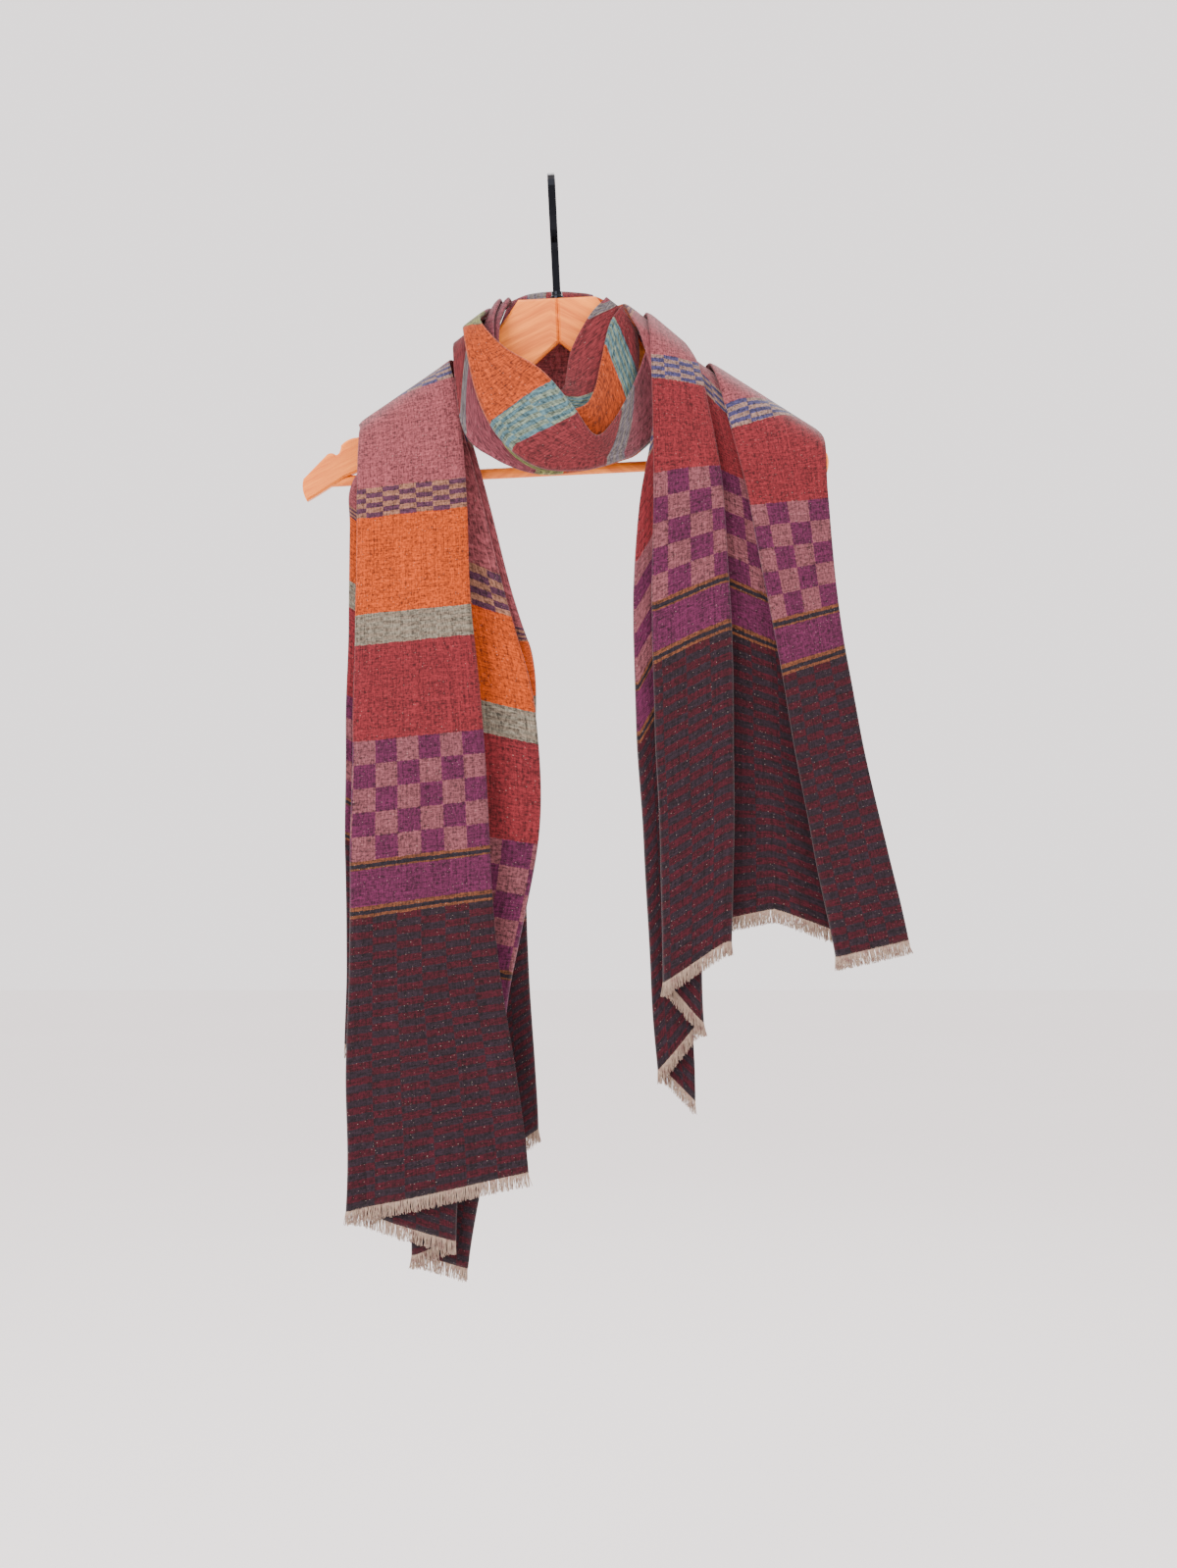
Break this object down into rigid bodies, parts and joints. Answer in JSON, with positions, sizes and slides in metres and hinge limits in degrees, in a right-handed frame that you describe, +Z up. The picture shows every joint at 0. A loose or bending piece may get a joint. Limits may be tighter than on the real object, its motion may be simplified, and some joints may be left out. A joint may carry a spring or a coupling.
{
  "type": "pashmina shawl on a wooden hanger",
  "caption": "Soft fringed wrap wound once round the neck of a wooden hanger with a trouser bar, both tails hanging in front.",
  "frame": {"origin": "the hook's seat, where the inside of its curve rests on the top of a rail", "axes": "+Z up, +X to the right of someone facing the front, -Y towards that person, who sees both tails hanging in front"},
  "size_m": [0.5129, 0.1655, 0.9407],
  "materials": {
    "hanger_wood": "pale wood under a thin clear satin lacquer",
    "hanger_metal": "dark polished chrome",
    "shawl_cloth": "soft heathered wool twill in broad bands with small broken stripes and checks",
    "shawl_fringe": "short raw eyelash fringe of beige and red yarn ends"
  },
  "bodies": {
    "root": {"hanger_arm_right": "hanger_wood", "hanger_arm_left": "hanger_wood", "hanger_bar": "hanger_wood", "hanger_ferrule": "hanger_metal", "hanger_hook": "hanger_metal", "shawl_left_tail": "shawl_cloth", "shawl_inner_wrap": "shawl_cloth", "shawl_cowl_front": "shawl_cloth", "shawl_cowl_inner": "shawl_cloth", "shawl_outer_wrap": "shawl_cloth", "shawl_right_tail": "shawl_cloth", "fringe_left": "shawl_fringe", "fringe_right": "shawl_fringe"}
  },
  "joints": []
}
